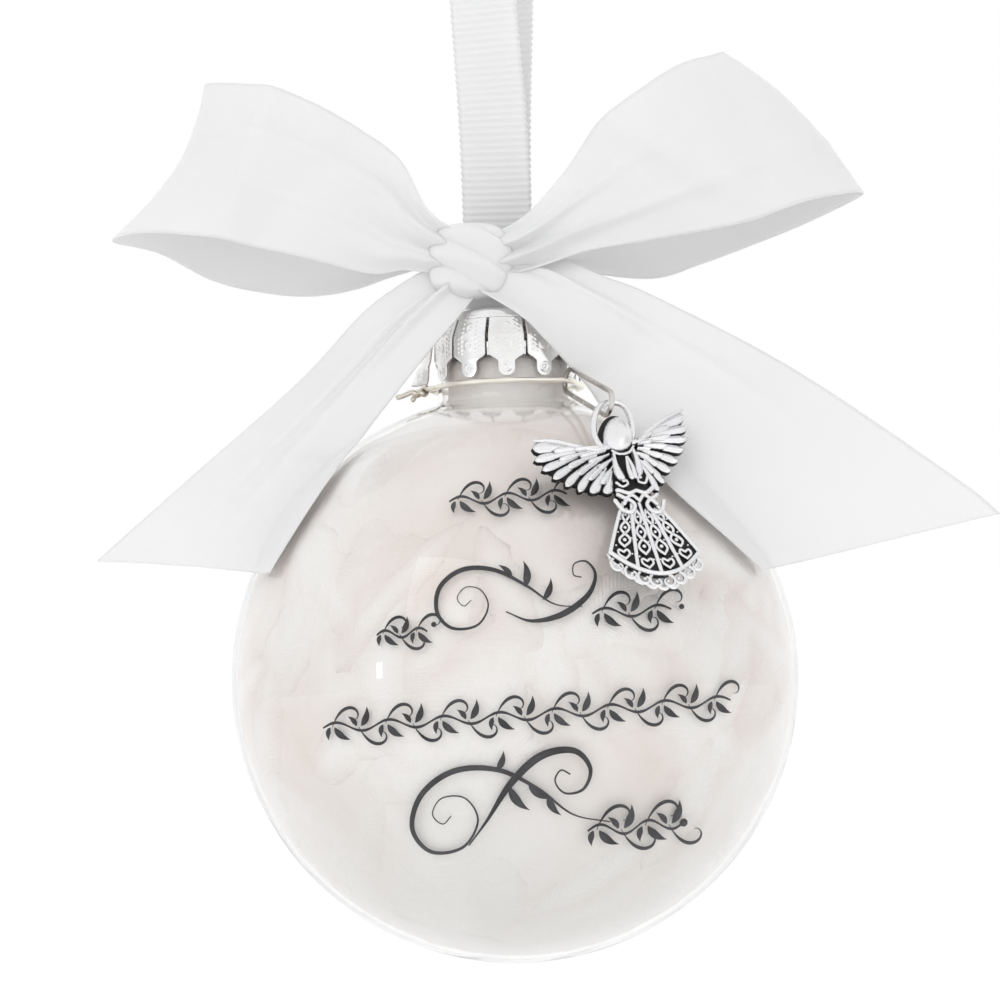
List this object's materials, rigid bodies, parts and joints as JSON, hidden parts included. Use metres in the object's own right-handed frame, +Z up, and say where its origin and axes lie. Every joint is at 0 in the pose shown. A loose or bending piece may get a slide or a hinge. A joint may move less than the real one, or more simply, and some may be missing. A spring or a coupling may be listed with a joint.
{
  "type": "glass ball ornament",
  "caption": "Clear glass ball filled with white feathers, with a petalled silver cap, ribbon hanging loop, satin bow and an angel charm.",
  "frame": {"origin": "the hanging point: inside of the hanging ribbon's top bend, on the ornament's upright axis", "axes": "+Z up along the ornament's axis, -Y towards the front with the knot and the charm, +X to the right seen from the front"},
  "size_m": [0.1273, 0.0798, 0.1883],
  "materials": {
    "clear_glass": "clear, polished",
    "white_feather": "soft white down and feather barbs",
    "cap_silver": "bright silver sheet with embossed dots",
    "clip_steel": "drawn spring wire",
    "neck_wire_silver": "pale champagne silver craft wire",
    "ring_silver": "silver plated wire",
    "charm_silver": "antique silver, blackened in the recesses",
    "ribbed_ribbon": "white grosgrain with cross ribs",
    "white_satin": "white satin ribbon"
  },
  "bodies": {
    "hanging_loop": {"hanging_ribbon": "ribbed_ribbon"},
    "cap_and_bow": {"cap": "cap_silver", "hanger_clip": "clip_steel", "bow_knot": "white_satin", "bow_tie": "white_satin", "bow_loop_left": "white_satin", "bow_loop_right": "white_satin", "bow_tail_left": "white_satin", "bow_tail_right": "white_satin"},
    "ball": {"glass_ball": "clear_glass", "feather_01": "white_feather", "feather_02": "white_feather", "feather_03": "white_feather", "feather_04": "white_feather", "feather_05": "white_feather", "feather_06": "white_feather", "feather_07": "white_feather", "feather_08": "white_feather", "feather_09": "white_feather", "feather_10": "white_feather"},
    "wire": {"neck_wire": "neck_wire_silver"},
    "ring": {"jump_ring": "ring_silver"},
    "charm": {"angel_charm": "charm_silver"}
  },
  "joints": [
    {"name": "ornament_swing", "type": "hinge", "parent": "hanging_loop", "child": "cap_and_bow", "pos_m": [0, 0, -0.088], "axis": [1, 0, 0], "range_deg": [-15, 15]},
    {"name": "ball_pull_off", "type": "slide", "parent": "cap_and_bow", "child": "ball", "axis": [0, 0, -1], "range_m": [0, 0.03], "deforming": ["bow_tail_right"]},
    {"name": "wire_turn", "type": "hinge", "parent": "ball", "child": "wire", "pos_m": [0, 0, -0.14783], "axis": [0, 0, 1], "range_deg": [-40, 0]},
    {"name": "ring_swing", "type": "hinge", "parent": "wire", "child": "ring", "pos_m": [0.00863, -0.00834, -0.10665], "axis": [-0.6947, -0.7193, 0], "range_deg": [0, 30]},
    {"name": "charm_swing", "type": "hinge", "parent": "ring", "child": "charm", "pos_m": [0.01339, -0.02289, -0.11148], "axis": [-0.8988, -0.4384, 0], "range_deg": [0, 50]}
  ]
}
